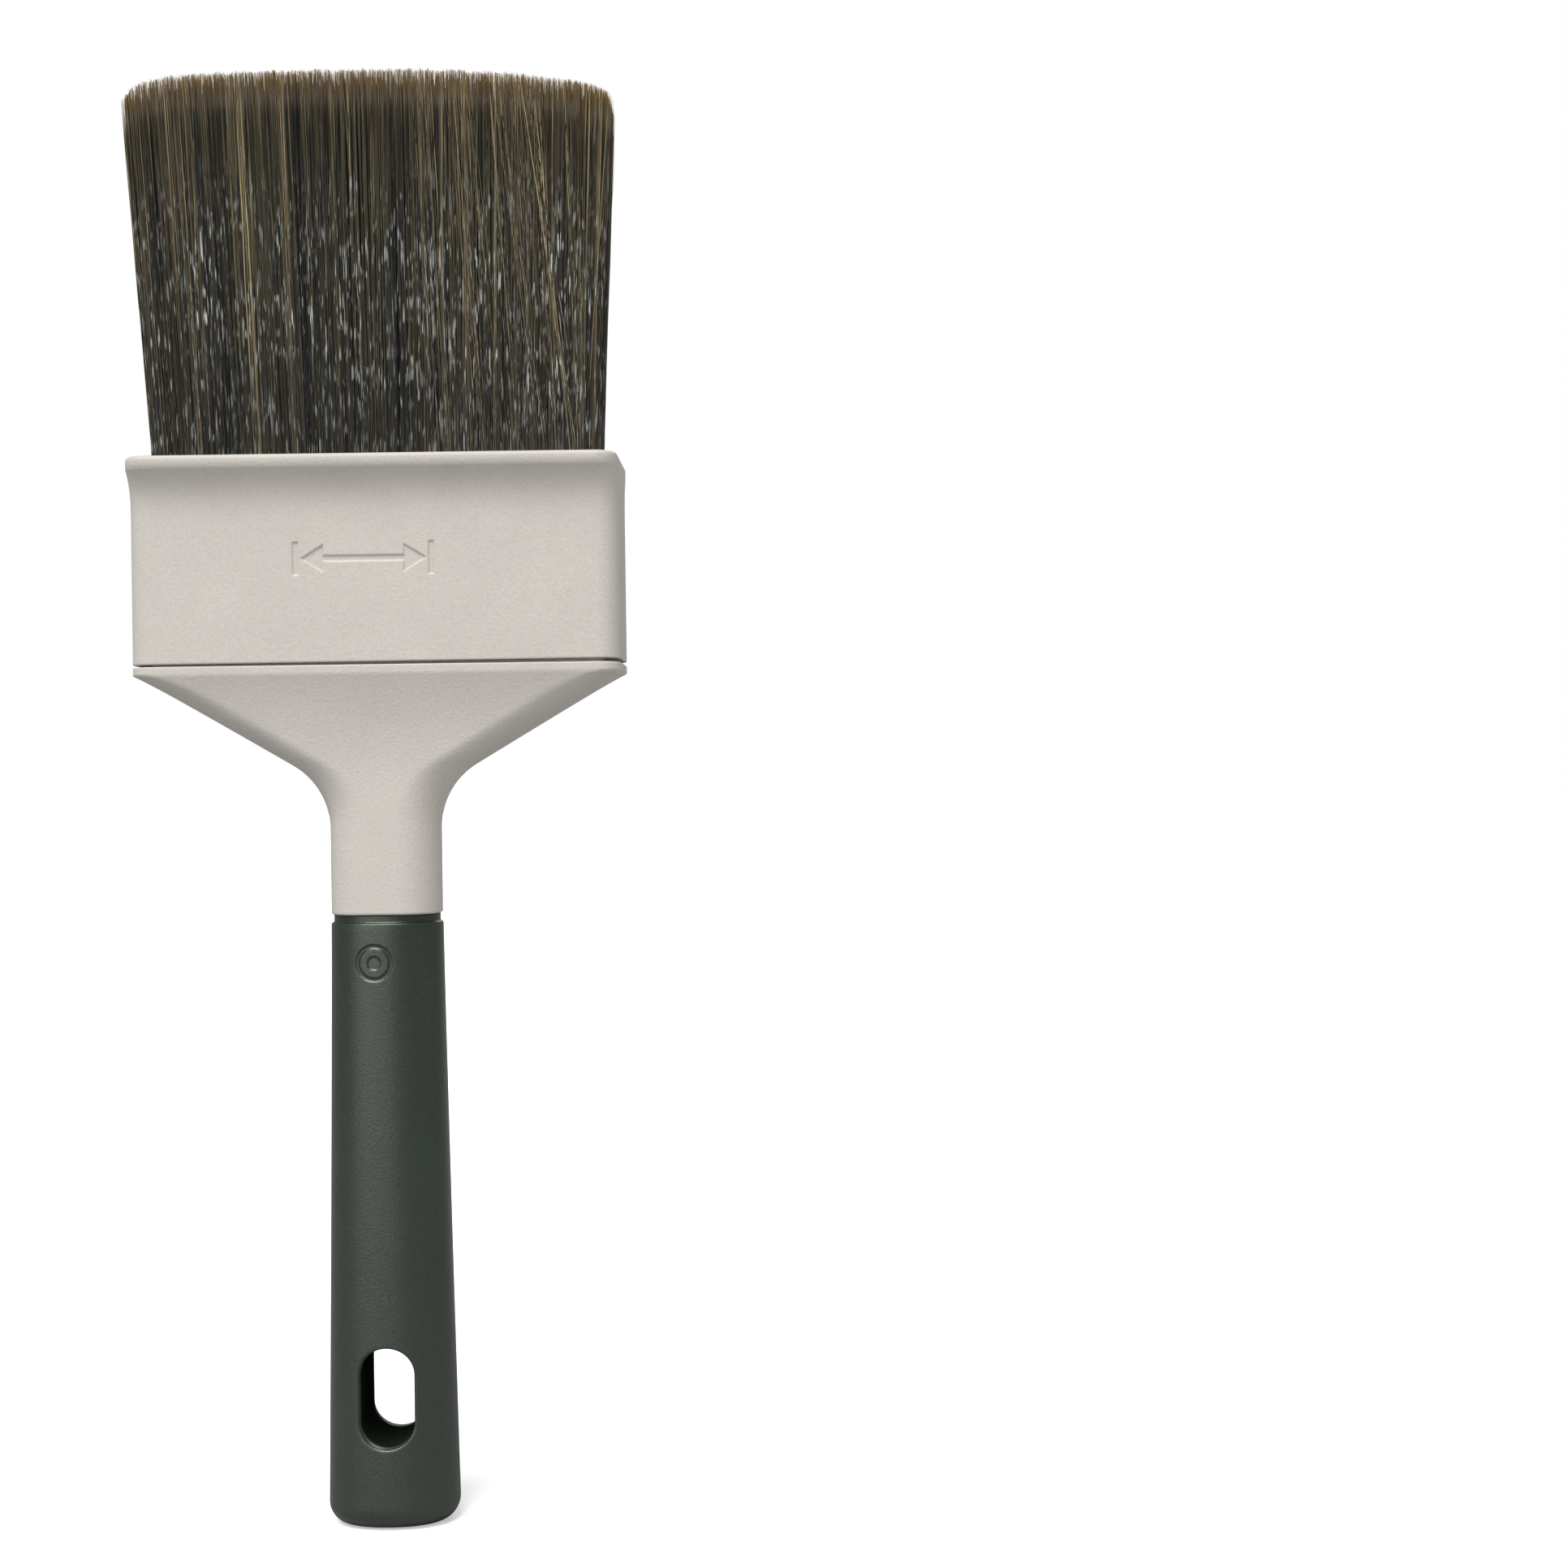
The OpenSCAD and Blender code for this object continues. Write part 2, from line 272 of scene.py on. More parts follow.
def width_mark(x, z):
    """Depth of the engraved width sign: a double arrow between two end bars."""
    x, z = x - MARK_X, z - MARK_Z
    bar = box_distance(np.abs(x), z, MARK_HALF_WIDTH - MARK_LINE, MARK_LINE, MARK_HALF_HEIGHT)
    tip = MARK_HALF_WIDTH - 3 * MARK_LINE
    shaft = box_distance(x, z, 0, tip - 2 * MARK_LINE, MARK_LINE)
    head = (np.abs(z) - (tip - np.abs(x)) * ARROW_SLOPE) / math.hypot(1, ARROW_SLOPE)
    head = np.maximum(head, tip - ARROW_LENGTH - np.abs(x))
    distance = np.minimum(np.minimum(bar, shaft), head)
    return MARK_DEPTH * smoothstep(MARK_EDGE, -MARK_EDGE, distance)


BADGE_X = -1.3 * MM
BADGE_Z = GRIP_TOP - 8.6 * MM
BADGE_RADIUS = 3.0 * MM
BADGE_DOT = 1.2 * MM
BADGE_LINE = 0.32 * MM
BADGE_DEPTH = 0.26 * MM
BADGE_STEP = 0.15 * MM
BADGE_REACH_X = 4.4 * MM
BADGE_REACH_Z = 4.2 * MM


def badge(x, z):
    """Depth of the engraved plain ring with a dot."""
    radius = np.hypot(x - BADGE_X, z - BADGE_Z)
    ring = np.abs(radius - BADGE_RADIUS) - BADGE_LINE
    return BADGE_DEPTH * smoothstep(BADGE_STEP, -BADGE_STEP, np.minimum(ring, radius - BADGE_DOT))


# ---- Ferrule ----

def flare(z):
    """How far the lip stands out from the ferrule's faces."""
    return (LIP_HALF_Y - BAND_HALF_Y) * min(1, max(0, z - LIP_START) / LIP_RISE) ** LIP_POWER


def ferrule_front():
    """Stops across the front, close together where the mark is engraved."""
    run_x = HALF_X - CORNER
    reach = MARK_HALF_WIDTH + MARK_MARGIN_X
    fine = np.arange(-reach, reach, MARK_STEP) + MARK_X
    left = np.linspace(-run_x, fine[0], 22)[1:-1]
    right = np.linspace(fine[-1], run_x, 22)[1:-1]
    return np.concatenate([left, fine, right]) / run_x


def ferrule_heights():
    """Heights of the outside's rings, close together through the mark and up the lip."""
    mark_low = MARK_Z - MARK_HALF_HEIGHT - MARK_MARGIN_Z
    mark_high = MARK_Z + MARK_HALF_HEIGHT + MARK_MARGIN_Z
    return np.concatenate([
        np.linspace(FERRULE_FOOT + 2 * EDGE_ROUND, mark_low, 10),
        np.arange(mark_low, mark_high, MARK_STEP)[1:],
        np.linspace(mark_high, LIP_START, 4),
        np.linspace(LIP_START, MOUTH - RIM_HEIGHT, 30)[1:],
    ])


def outside_ring(z, front, inset=0.0):
    """A ring of the ferrule's outside, with the mark cut into its front."""
    ring = rounded_ring(HALF_X - inset, BAND_HALF_Y + flare(z) - inset, CORNER - inset, z, front)
    on_face = slice(0, len(front))
    ring[on_face, 1] += width_mark(ring[on_face, 0], ring[on_face, 2])
    return ring


def bore_ring(z, front):
    """A ring of the ferrule's bore, which widens behind the lip."""
    share = max(0, z - LIP_START) / (MOUTH - LIP_START)
    reach = LIP_HALF_Y - BAND_HALF_Y + FACE_WALL - RIM_THICKNESS
    return rounded_ring(
        HALF_X - SIDE_WALL + MOUTH_SIDE_EASE * share ** LIP_POWER,
        BAND_HALF_Y - FACE_WALL + reach * share ** LIP_POWER, BORE_CORNER, z, front)


def build_ferrule():
    """A tube of rings up the outside, over the rim and down the bore, with a tilted foot."""
    front = ferrule_front()
    rings = [outside_ring(FERRULE_FOOT + drop, front, inset) for inset, drop in round_over(EDGE_ROUND, 4)]
    rings += [outside_ring(z, front) for z in ferrule_heights()]
    rings += [outside_ring(MOUTH - drop, front, inset) for inset, drop in round_over(RIM_ROUND, 8)[::-1]]
    rim = bore_ring(MOUTH, front)
    rim[:, :2] += np.sign(rim[:, :2]) * BORE_RIM_EASE
    rings.append(rim)
    rings += [bore_ring(z, front) for z in np.linspace(MOUTH - BORE_RIM_DROP, LIP_START, 24)]
    rings += [bore_ring(z, front) for z in np.linspace(LIP_START, FERRULE_FOOT, 6)[1:]]
    rings = np.asarray(rings)
    at_foot = rings[:, :, 2] < FERRULE_FOOT + 1.5 * EDGE_ROUND
    rings[at_foot, 2] += SEAM_TILT * rings[at_foot, 0] / HALF_X
    count, around, _ = rings.shape
    return mesh_object("ferrule_shell", rings.reshape(-1, 3), [ring_quads(count, around, True)])


# ---- Handle: neck, shoulder, band and the top of the tongue ----

def shoulder_half_x(z):
    """Half width: the straight neck, the fillet and the sloped shoulder."""
    if z <= FILLET_LOW:
        return NECK_HALF_X
    if z <= FILLET_HIGH:
        return NECK_HALF_X + SHOULDER_FILLET - math.sqrt(SHOULDER_FILLET ** 2 - (z - FILLET_LOW) ** 2)
    return NECK_HALF_X + (z - SHOULDER_ROOT) * SHOULDER_SLOPE


def shoulder_half_y(z):
    """Half depth, which grows slowly from the neck and faster near the band."""
    share = max(0, z - DEPTH_BLEND_LOW) / (SHOULDER_TOP - DEPTH_BLEND_LOW)
    return NECK_HALF_Y + (BAND_HALF_Y - NECK_HALF_Y) * share ** DEPTH_BLEND_POWER


def corner_ease(z):
    """Wide on the neck, a little wider on the shoulder, and the ferrule's corner at the band."""
    spread = min(1, max(0, z - FILLET_LOW) / (FILLET_HIGH - FILLET_LOW))
    finish = (max(0, z - FILLET_HIGH) / (SHOULDER_TOP - FILLET_HIGH)) ** EASE_END_POWER
    long = NECK_EASE + (SHOULDER_EASE - NECK_EASE) * spread
    return long + (CORNER - long) * finish


HANDLE_STOPS = straight(40)


def shoulder_ring(z, inset=0.0):
    """A ring of the neck or the shoulder."""
    ease = corner_ease(z) - inset
    return rounded_ring(shoulder_half_x(z) - inset, shoulder_half_y(z) - inset, ease, z, HANDLE_STOPS)


def band_ring(z, inset=0.0):
    """A ring of the band under the seam."""
    return rounded_ring(HALF_X - inset, BAND_HALF_Y - inset, CORNER - inset, z, HANDLE_STOPS)


def tongue_ring(z):
    """A ring of the tongue that fills the ferrule's bore."""
    return rounded_ring(HALF_X - SIDE_WALL, BAND_HALF_Y - FACE_WALL, BORE_CORNER, z, HANDLE_STOPS)


def build_handle():
    """The handle from the top of the grip up to the top of the tongue."""
    rings = [shoulder_ring(GRIP_TOP + drop, inset) for inset, drop in round_over(NECK_BEVEL, 5)]
    rings += [shoulder_ring(z) for z in np.linspace(GRIP_TOP + 1.5 * NECK_BEVEL, FILLET_LOW, 12)]
    rings += [shoulder_ring(z) for z in np.linspace(FILLET_LOW, FILLET_HIGH, 24)[1:]]
    rings += [shoulder_ring(z) for z in np.linspace(FILLET_HIGH, SHOULDER_TOP, 40)[1:-1]]
    rings += [band_ring(z) for z in np.linspace(SHOULDER_TOP, SEAM - 2 * EDGE_ROUND, 4)]
    rings += [band_ring(SEAM - drop, inset) for inset, drop in round_over(EDGE_ROUND, 4)[::-1]]
    rings += [tongue_ring(z) for z in (SEAM, SEAM + 2 * SEAM_GAP, core_high.z)]
    return loft("handle_moulding", rings)


# ---- Grip with its hang slot ----

def grip_half(z):
    """Half width and half depth, which swell from the top to the butt."""
    share = max(0, 1 - z / GRIP_TOP) ** GRIP_SWELL
    return (
        GRIP_TOP_HALF_X + (GRIP_BUTT_HALF_X - GRIP_TOP_HALF_X) * share,
        GRIP_TOP_HALF_Y + (GRIP_BUTT_HALF_Y - GRIP_TOP_HALF_Y) * share,
    )


def grip_turns():
    """Angles round the grip from -X over the front to +X and back, the same on both faces."""
    fine = np.arange(BADGE_X - BADGE_REACH_X, BADGE_X + BADGE_REACH_X, BADGE_STEP) / GRIP_TOP_HALF_X
    left = np.linspace(-1, fine[0], 16)[1:-1]
    right = np.linspace(fine[-1], 1, 20)[1:-1]
    share = np.concatenate([left, fine, right])
    share = share[np.abs(share) < FLANK_START]
    front = 2 * math.pi - np.arccos(np.sign(share) * np.abs(share) ** (GRIP_ROUNDNESS / 2))
    flank = math.acos(FLANK_START ** (GRIP_ROUNDNESS / 2))
    into = np.linspace(0, flank, 9)[1:-1]
    front = np.concatenate([math.pi + into, front, 2 * math.pi - into[::-1]])
    back = 4 * math.pi - front[::-1]
    return np.concatenate([[math.pi], front, [2 * math.pi], back])


def grip_ring(z, turns, inset=0.0):
    """A ring of the grip: an oval a little squarer than an ellipse."""
    half_x, half_y = grip_half(z)
    c, s = np.cos(turns), np.sin(turns)
    power = 2 / GRIP_ROUNDNESS
    x = (half_x - inset) * np.sign(c) * np.abs(c) ** power
    y = (half_y - inset) * np.sign(s) * np.abs(s) ** power
    return np.column_stack([x, y, np.full(len(turns), z)])


def grip_surface(at, side):
    """Points on the grip's front (side -1) or back (side 1) at the given x and z."""
    half = np.array([grip_half(z) for z in at[:, 1]])
    y = (1 - np.abs(at[:, 0] / half[:, 0]) ** GRIP_ROUNDNESS) ** (1 / GRIP_ROUNDNESS)
    return np.column_stack([at[:, 0], side * half[:, 1] * y, at[:, 1]])


def slot_rim_point(direction):
    """The point of the slot's rim in a direction from its centre, and the outline's normal there."""
    run = SLOT_HALF_LENGTH - SLOT_HALF_WIDTH
    radius = SLOT_HALF_WIDTH + SLOT_RIM
    dx, dz = direction / np.linalg.norm(direction)
    if abs(dz) * radius <= run * abs(dx):
        return [math.copysign(radius, dx), dz / abs(dx) * radius], [math.copysign(1, dx), 0]
    end = math.copysign(run, dz)
    along = dz * end + math.sqrt((dz * end) ** 2 - run ** 2 + radius ** 2)
    return [dx * along, dz * along], [dx * along / radius, (dz * along - end) / radius]


def slot_rings(edge, side):
    """Rings that run from a window's edge in the grip's face to the slot's rim and over its round."""
    flat = edge - [0, SLOT_CENTRE]
    rim, normal = np.array([slot_rim_point(p) for p in flat]).transpose(1, 0, 2)
    rings = []
    for share in np.linspace(0, 1, 9)[1:]:
        rings.append(grip_surface(flat + (rim - flat) * share + [0, SLOT_CENTRE], side))
    face = rings[-1]
    for turn in np.linspace(0, math.pi / 2, 7)[1:]:
        ring = face.copy()
        ring[:, [0, 2]] -= normal * SLOT_RIM * math.sin(turn)
        ring[:, 1] -= side * SLOT_RIM * (1 - math.cos(turn))
        rings.append(ring)
    return rings


def grip_rings(turns):
    """The grip's rings from the butt to the collar, with the badge cut into the front."""
    collar_foot = GRIP_TOP - COLLAR_HEIGHT
    badge_low, badge_high = BADGE_Z - BADGE_REACH_Z, BADGE_Z + BADGE_REACH_Z
    heights = np.concatenate([
        np.linspace(BUTT + BUTT_EDGE, badge_low, 76)[1:],
        np.arange(badge_low, badge_high, BADGE_STEP)[1:],
        np.linspace(badge_high, collar_foot - COLLAR_STEP, 3)[1:],
    ])
    rings = [grip_ring(BUTT + drop, turns, inset) for inset, drop in round_over(BUTT_EDGE, 14)]
    rings += [grip_ring(z, turns) for z in heights]
    rings += [grip_ring(collar_foot - drop, turns, inset)
              for inset, drop in round_over(COLLAR_STEP, 6)[::-1][1:]]
    rings += [grip_ring(z, turns, COLLAR_STEP) for z in np.linspace(collar_foot, GRIP_TOP, 5)[1:]]
    rings = np.asarray(rings)
    front = rings[:, :, 1] < 0
    rings[:, :, 1] += np.where(front, badge(rings[:, :, 0], rings[:, :, 2]), 0)
    return rings


def slot_window(rings):
    """The rows and the front columns of the grid of rings where the slot's window is."""
    rows = np.flatnonzero(np.abs(rings[:, 0, 2] - SLOT_CENTRE) < SLOT_HALF_LENGTH + WINDOW_MARGIN_Z)
    x, y = rings[rows[0], :, :2].T
    return rows, np.flatnonzero((y < 0) & (np.abs(x) < SLOT_HALF_WIDTH + WINDOW_MARGIN_X))


def window_edge(rows, columns):
    """(row, column) pairs once round the window."""
    walk = [(rows[0], i) for i in columns]
    walk += [(k, columns[-1]) for k in rows[1:]]
    walk += [(rows[-1], i) for i in columns[-2::-1]]
    walk += [(k, columns[0]) for k in rows[-2:0:-1]]
    return walk


def skin_faces(count, around, rows, columns):
    """Quads of the grid of rings but for its two windows, and a fan over each end."""
    keep = np.ones((count - 1, around), bool)
    keep[rows[0]:rows[-1], columns[0]:columns[-1]] = False
    keep[rows[0]:rows[-1], around - columns[-1]:around - columns[0]] = False
    low = np.arange(around)
    high = low + (count - 1) * around
    return [
        fan(count * around, low, True),
        fan(count * around + 1, high, False),
        ring_quads(count, around, False)[keep.ravel()],
    ]


def build_grip():
    """A skin of rings with a window in each face, and the slot's rim and walls between them."""
    rings = grip_rings(grip_turns())
    count, around, _ = rings.shape
    rows, columns = slot_window(rings)
    grid = rings.reshape(-1, 3)
    points = [grid, [rings[0].mean(0), rings[-1].mean(0)]]
    faces = skin_faces(count, around, rows, columns)

    def add(ring):
        """Adds a ring's points and gives their indices."""
        first = sum(len(p) for p in points)
        points.append(ring)
        return np.arange(first, first + len(ring))

    edge = window_edge(rows, columns)
    rims = []
    for side in (-1, 1):
        previous = np.array([k * around + (i if side < 0 else around - i) for k, i in edge])
        for ring in slot_rings(grid[previous][:, [0, 2]], side):
            ids = add(ring)
            faces.append(strip(previous, ids)[:, ::-side])
            previous = ids
        rims.append((previous, ring))

    (previous, front_rim), (back_ids, back_rim) = rims
    for share in np.linspace(0, 1, 8)[1:-1]:
        ids = add(front_rim + (back_rim - front_rim) * share)
        faces.append(strip(previous, ids))
        previous = ids
    faces.append(strip(previous, back_ids))
    return mesh_object("grip_sleeve", np.concatenate(points), faces)


# ---- Filaments ----

# A strand's sides, and the shelves of narrow columns that its UVs lay out in one picture.
SIDES = 3
SHELVES = 4
SHELF_FILL = 0.98
SHELF_CAP = 0.01

ROWS = ("front", "middle", "rear")
STRAND_SEED = 80

# Each kind's count, stations, crimp reach, crimp length as a share of the strand, and thickness.
INNER = (6000, 9, 0.10 * MM, 0.5, 0.32 * MM)
OUTER = (8600, 13, 0.05 * MM, 0.3, 0.18 * MM)
CROSSING = (170, 13, 0.05 * MM, 0.3, 0.15 * MM)

# Outer roots: how deep they sit under the pack's outside, and the share of them on its narrow ends.
OUTER_DEPTH = 0.45 * MM
OUTER_DEPTH_LIMIT = 2.5 * MM
ON_END_SHARE = 0.15

# Bunches that cross the front: their places on the right half, how far they lean, and their spread.
BUNCHES = 40
BUNCH_PLACES = (9 * MM, 38.5 * MM)
BUNCH_LEANS = (2 * MM, 14 * MM)
BUNCH_SPREAD = 0.5 * MM
LEAN_SPREAD = 0.3 * MM
IN_FRONT = 0.05 * MM
FRONT_DEPTH = 0.1 * MM

# Tips: they lean a little to the left, gather in tufts, and some are stray, short or broken.
LEAN_LEFT = 0.9 * MM
TUFT = 0.95 * MM
TUFT_SEED = 3
TUFT_GRID = (110, 50)
TUFT_JITTER = 0.4
GATHER = (0.1, 0.75)
TIP_SCATTER_X = 0.18 * MM
TIP_SCATTER_Y = 0.14 * MM
STRAY_SHARE = 0.06
STRAY_REACH = 1.8 * MM
LOOSE_REACH = 0.35 * MM
SHORT_REACH = 0.4 * MM
TUFT_DROP = 0.7 * MM
BROKEN_SHARE = 0.2
BROKEN_BY = (0.5 * MM, 6 * MM)
FACE_DROP = 1.2 * MM
FRONT_LIMIT = 1.02 * TIP_HALF_Y

# How far the tip line falls to each side: a broad curve, then a rounding and its power.
DOME_RIGHT = (3.3 * MM, 1.8 * MM, 14)
DOME_LEFT = (0.8 * MM, 2.8 * MM, 12)

CRIMP_RISE = 10 * MM
CRIMP_PACE = (0.6, 1.4)
CRIMP_SPREAD = (0.3, 1)
THICKNESS_SPREAD = (0.8, 1.15)
TAPER_AT = [0, 0.6, 0.9, 1]
TAPER = [1, 0.95, 0.7, 0.2]

CHARCOAL = (0.013, 0.014, 0.011)
UMBER = (0.058, 0.046, 0.022)
TAN = (0.180, 0.143, 0.082)
GOLD = (0.370, 0.295, 0.160)
TIP_TAN = (0.165, 0.092, 0.014)

# The share of filaments up to each colour, and what a full band adds to it.
UMBER_SHARE = (0.46, 0.25)
TAN_SHARE = (0.22, 0.18)
GOLD_SHARE = (0.006, 0.01)
BRIGHTNESS = (0.35, 1.6)
CROSSING_GOLD = 0.40
CROSSING_TAN = 0.80
CROSSING_BRIGHTNESS = (0.3, 1.25)

# Bands of colour are wide and lighter towards both ends of the pack; clumps of it are narrow.
BAND_SEED = 117
BAND_WIDTH = 8 * MM
BAND_LEVEL = 0.04
BAND_SWING = 0.5
BAND_ENDS = 0.7
CLUMP_SEED = 11
CLUMP_WIDTH = 0.8 * MM
CLUMP_SWING = 0.8
CLUMP_SHARE = 0.45

# Where golden filaments bunch together across the width, how wide each bunch is and how full.
GOLD_BUNCHES = [(-20.5 * MM, 0.8 * MM, 0.5), (-2.5 * MM, 0.35 * MM, 0.25), (9.5 * MM, 0.4 * MM, 0.2)]

# Filaments that share their glints: clumps this wide and deep, whose values repeat after a cycle.
GLINT_WIDTH = 0.18 * MM
GLINT_DEPTH = 0.8 * MM
GLINT_SPREAD = 0.05 * MM
GLINT_SEEDS = 500
GLINT_CYCLE = 499
GLINT_STEP = 97

NOISE_TABLE = 400
NOISE_MIDDLE = 150
NOISE_RANGE = 1.75


def soft_noise(places, seed, spacing, octaves=3):
    """Smooth random values along a line, between -1 and 1."""
    rng = np.random.default_rng(seed)
    total = np.zeros(len(places))
    for octave in range(octaves):
        table = rng.uniform(-1, 1, NOISE_TABLE)
        at = places / spacing * 2 ** octave + NOISE_MIDDLE
        base = np.floor(at).astype(int)
        t = smoothstep(0, 1, at - base)
        here, after = table[base % NOISE_TABLE], table[(base + 1) % NOISE_TABLE]
        total += (here * (1 - t) + after * t) / 2 ** octave
    return total / NOISE_RANGE


def dome_drop(share):
    """How far the tips sit below the crown: combed down further on the right than on the left."""
    def drop(curve, rounding, power):
        """The fall on one side."""
        return curve * share ** 2 + rounding * np.abs(share) ** power

    return np.where(share > 0, drop(*DOME_RIGHT), drop(*DOME_LEFT))


def strand_colours(rng, x, at_tip):
    """Charcoal and brown in bands and clumps, with tan filaments and golden bunches mixed in."""
    count = len(x)
    band = BAND_LEVEL + BAND_SWING * soft_noise(at_tip, BAND_SEED, BAND_WIDTH)
    band += BAND_ENDS * (at_tip / TIP_HALF_X) ** 4
    clump = 0.5 + CLUMP_SWING * soft_noise((x + at_tip) / 2, CLUMP_SEED, CLUMP_WIDTH, 2)
    pick = (1 - CLUMP_SHARE) * rng.random(count) + CLUMP_SHARE * np.clip(clump, 0, 1)
    colour = np.empty((count, 3))
    colour[:] = CHARCOAL
    colour[pick < UMBER_SHARE[0] + UMBER_SHARE[1] * band] = UMBER
    colour[pick < TAN_SHARE[0] + TAN_SHARE[1] * band] = TAN
    colour[rng.random(count) < GOLD_SHARE[0] + GOLD_SHARE[1] * band] = GOLD
    for centre, spread, full in GOLD_BUNCHES:
        colour[rng.random(count) < full * np.exp(-((x - centre) / spread) ** 2)] = GOLD
    return colour * rng.uniform(*BRIGHTNESS, count)[:, None]


def inner_places(rng, count):
    """Roots spread evenly through the whole pack."""
    return rng.uniform(-1, 1, count) * PACK_HALF_X, rng.uniform(-1, 1, count) * PACK_HALF_Y


def outer_places(rng, count):
    """Roots close under the pack's outside, most of them on the wide faces."""
    x, y = inner_places(rng, count)
    depth = np.minimum(rng.exponential(OUTER_DEPTH, count), OUTER_DEPTH_LIMIT)
    on_end = rng.random(count) < ON_END_SHARE
    x = np.where(on_end, np.sign(x) * (PACK_HALF_X - depth), x)
    y = np.where(on_end, y, np.sign(y) * (PACK_HALF_Y - depth))
    return x, y


def crossing_places(rng, count):
    """Bunches on the front face that are combed towards the middle, most of all on the right."""
    bunch = rng.integers(0, BUNCHES, count)
    centre = rng.uniform(*BUNCH_PLACES, BUNCHES)
    lean = rng.uniform(*BUNCH_LEANS, BUNCHES) * centre / PACK_HALF_X
    x = centre[bunch] + rng.normal(0, BUNCH_SPREAD, count)
    y = rng.exponential(FRONT_DEPTH, count) - PACK_HALF_Y - IN_FRONT
    return x, y, lean[bunch] + rng.normal(0, LEAN_SPREAD, count)


def round_pack_corners(x, y):
    """Pulls roots that lie outside the pack's rounded corners onto them."""
    over_x = np.abs(x) - (PACK_HALF_X - PACK_CORNER)
    over_y = np.abs(y) - (PACK_HALF_Y - PACK_CORNER)
    reach = np.hypot(over_x, over_y)
    move = (over_x > 0) & (over_y > 0) & (reach > PACK_CORNER)
    pull = PACK_CORNER / np.maximum(reach, PACK_CORNER)
    x = np.where(move, np.sign(x) * (PACK_HALF_X - PACK_CORNER + over_x * pull), x)
    y = np.where(move, np.sign(y) * (PACK_HALF_Y - PACK_CORNER + over_y * pull), y)
    return x, y


def tip_places(rng, x, y, lean):
    """Tips fanned out from their roots and gathered in tufts, some of them stray, short or broken."""
    count = len(x)
    deep = y / PACK_HALF_Y
    tip_x = x / PACK_HALF_X * TIP_HALF_X - LEAN_LEFT - lean
    tip_y = deep * TIP_HALF_Y
    stray = rng.random(count) < STRAY_SHARE
    tip_x[stray] += rng.normal(0, STRAY_REACH, stray.sum())

    cell_x = np.round(tip_x / TUFT).astype(int)
    cell_y = np.round(tip_y / TUFT).astype(int)
    jitter = np.random.default_rng(TUFT_SEED).uniform(-TUFT_JITTER, TUFT_JITTER, (*TUFT_GRID, 3))
    tuft = jitter[cell_x + TUFT_GRID[0] // 2, cell_y + TUFT_GRID[1] // 2]
    gather = rng.uniform(*GATHER, count)
    tip_x += ((cell_x + tuft[:, 0]) * TUFT - tip_x) * gather + rng.normal(0, TIP_SCATTER_X, count)
    tip_y += ((cell_y + tuft[:, 1]) * TUFT - tip_y) * gather + rng.normal(0, TIP_SCATTER_Y, count)
    loose = rng.exponential(LOOSE_REACH, count)
    tip_x = np.clip(tip_x, -TIP_HALF_X - LEAN_LEFT - loose, TIP_HALF_X - LEAN_LEFT / 2 + loose)
    tip_y = np.clip(tip_y, -FRONT_LIMIT, TIP_HALF_Y)

    short = rng.exponential(SHORT_REACH, count) + TUFT_DROP * (tuft[:, 2] + TUFT_JITTER)
    broken = rng.random(count) < BROKEN_SHARE
    short[broken] += rng.uniform(*BROKEN_BY, broken.sum())
    tip_z = TIP - dome_drop(tip_x / TIP_HALF_X) - FACE_DROP * np.abs(deep) ** 3 - short
    return tip_x, tip_y, tip_z


def centre_lines(rng, x, y, tips, stations, crimp_reach, crimp_length):
    """Points along each strand: upright in the ferrule, then out to its tip with a fine crimp."""
    tip_x, tip_y, tip_z = tips
    count = len(x)
    heights = ROOT_Z + (tip_z[:, None] - ROOT_Z) * np.linspace(0, 1, stations)
    run = np.clip((heights - MOUTH) / (TIP - MOUTH), 0, None)
    phase = rng.uniform(0, 2 * math.pi, (count, 1, 2))
    pace = rng.uniform(*CRIMP_PACE, (count, 1, 2)) * 2 * math.pi / (stations * crimp_length)
    swing = np.sin(pace * np.arange(stations)[:, None] + phase)
    swing = swing * rng.uniform(*CRIMP_SPREAD, (count, 1, 2)) * crimp_reach
    swing *= smoothstep(0, CRIMP_RISE, heights - MOUTH)[:, :, None]
    root = np.stack([x, y], -1)[:, None, :]
    outward = np.stack([tip_x - x, tip_y - y], -1)[:, None, :]
    return np.concatenate([root + outward * run[:, :, None] + swing, heights[:, :, None]], -1)


def strand_prisms(rng, centre, thickness):
    """The points of a tapered three-sided prism round each centre line."""
    count, stations, _ = centre.shape
    base = rng.uniform(*THICKNESS_SPREAD, count) * thickness / 2
    taper = np.interp(np.linspace(0, 1, stations), TAPER_AT, TAPER)
    angle = rng.uniform(0, 2 * math.pi, count)[:, None] + np.arange(SIDES) * 2 * math.pi / SIDES
    around = np.stack([np.cos(angle), np.sin(angle), np.zeros_like(angle)], -1)
    radius = base[:, None, None, None] * taper[:, None, None]
    return centre[:, :, None, :] + around[:, None, :, :] * radius


def lay_strands(rng, kind, x, y, lean=0):
    """Strands of one kind from their roots inside the ferrule to their tips."""
    _, stations, crimp_reach, crimp_length, thickness = kind
    x, y = round_pack_corners(x, y)
    tips = tip_places(rng, x, y, lean)
    centre = centre_lines(rng, x, y, tips, stations, crimp_reach, crimp_length)
    points = strand_prisms(rng, centre, thickness)
    from_tip = np.repeat((tips[2][:, None] - centre[:, :, 2]) / MM, SIDES, axis=1)
    return {"x": x, "y": y, "at_tip": tips[0], "points": points, "from_tip": from_tip}


